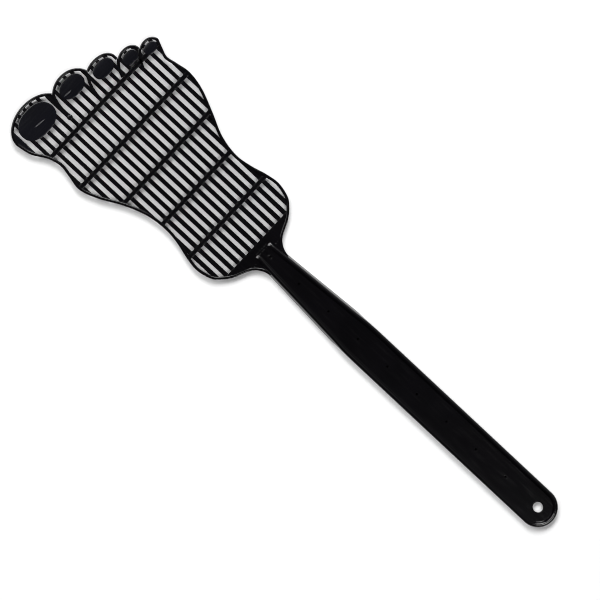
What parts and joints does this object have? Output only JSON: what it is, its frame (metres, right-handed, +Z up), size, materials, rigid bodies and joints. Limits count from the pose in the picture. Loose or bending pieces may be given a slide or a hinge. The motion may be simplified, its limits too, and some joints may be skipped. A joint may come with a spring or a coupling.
{
  "type": "fly swatter",
  "caption": "Fly swatter with a foot-shaped slatted head, five padded toes and a flat beaded handle that ends in a hang hole.",
  "frame": {"origin": "centre of the hang hole, on the mid-plane of the moulding", "axes": "+Y from the hang hole along the handle to the toes, +X across the handle towards the little toe, +Z up out of the face"},
  "size_m": [0.1094, 0.4192, 0.005],
  "materials": {
    "handle_plastic": "gloss, with faint flow and ejector marks",
    "edge_plastic": "gloss, rounded edge bead",
    "pad_plastic": "gloss, fine moulding grain",
    "grid_plastic": "gloss, rounded slats and ribs"
  },
  "bodies": {
    "root": {"handle_web": "handle_plastic", "handle_left_bead": "handle_plastic", "handle_right_bead": "handle_plastic", "handle_end_bead": "handle_plastic", "taper_left_bead": "handle_plastic", "taper_right_bead": "handle_plastic", "neck_cross_wall": "handle_plastic", "neck_left_gusset": "handle_plastic", "neck_right_gusset": "handle_plastic", "heel_plate": "edge_plastic", "left_side_rim": "edge_plastic", "right_side_rim": "edge_plastic", "big_toe_rim": "edge_plastic", "second_toe_rim": "edge_plastic", "third_toe_rim": "edge_plastic", "fourth_toe_rim": "edge_plastic", "little_toe_rim": "edge_plastic", "big_toe_side_web": "pad_plastic", "big_toe_pad": "pad_plastic", "second_toe_pad": "pad_plastic", "third_toe_pad": "pad_plastic", "fourth_toe_pad": "pad_plastic", "little_toe_pad": "pad_plastic", "cleft_rib_1": "grid_plastic", "cleft_rib_2": "grid_plastic", "cleft_rib_3": "grid_plastic", "cleft_rib_4": "grid_plastic", "cross_rib_1": "grid_plastic", "cross_rib_2": "grid_plastic", "cross_rib_3": "grid_plastic", "cross_rib_4": "grid_plastic", "cross_rib_5": "grid_plastic", "slat_01": "grid_plastic", "slat_02": "grid_plastic", "slat_03": "grid_plastic", "slat_04": "grid_plastic", "slat_05": "grid_plastic", "slat_06": "grid_plastic", "slat_07": "grid_plastic", "slat_08": "grid_plastic", "slat_09": "grid_plastic", "slat_10": "grid_plastic", "slat_11": "grid_plastic", "slat_12": "grid_plastic", "slat_13": "grid_plastic", "slat_14": "grid_plastic", "slat_15": "grid_plastic", "slat_16": "grid_plastic", "slat_17": "grid_plastic", "slat_18": "grid_plastic", "slat_19": "grid_plastic"}
  },
  "joints": []
}
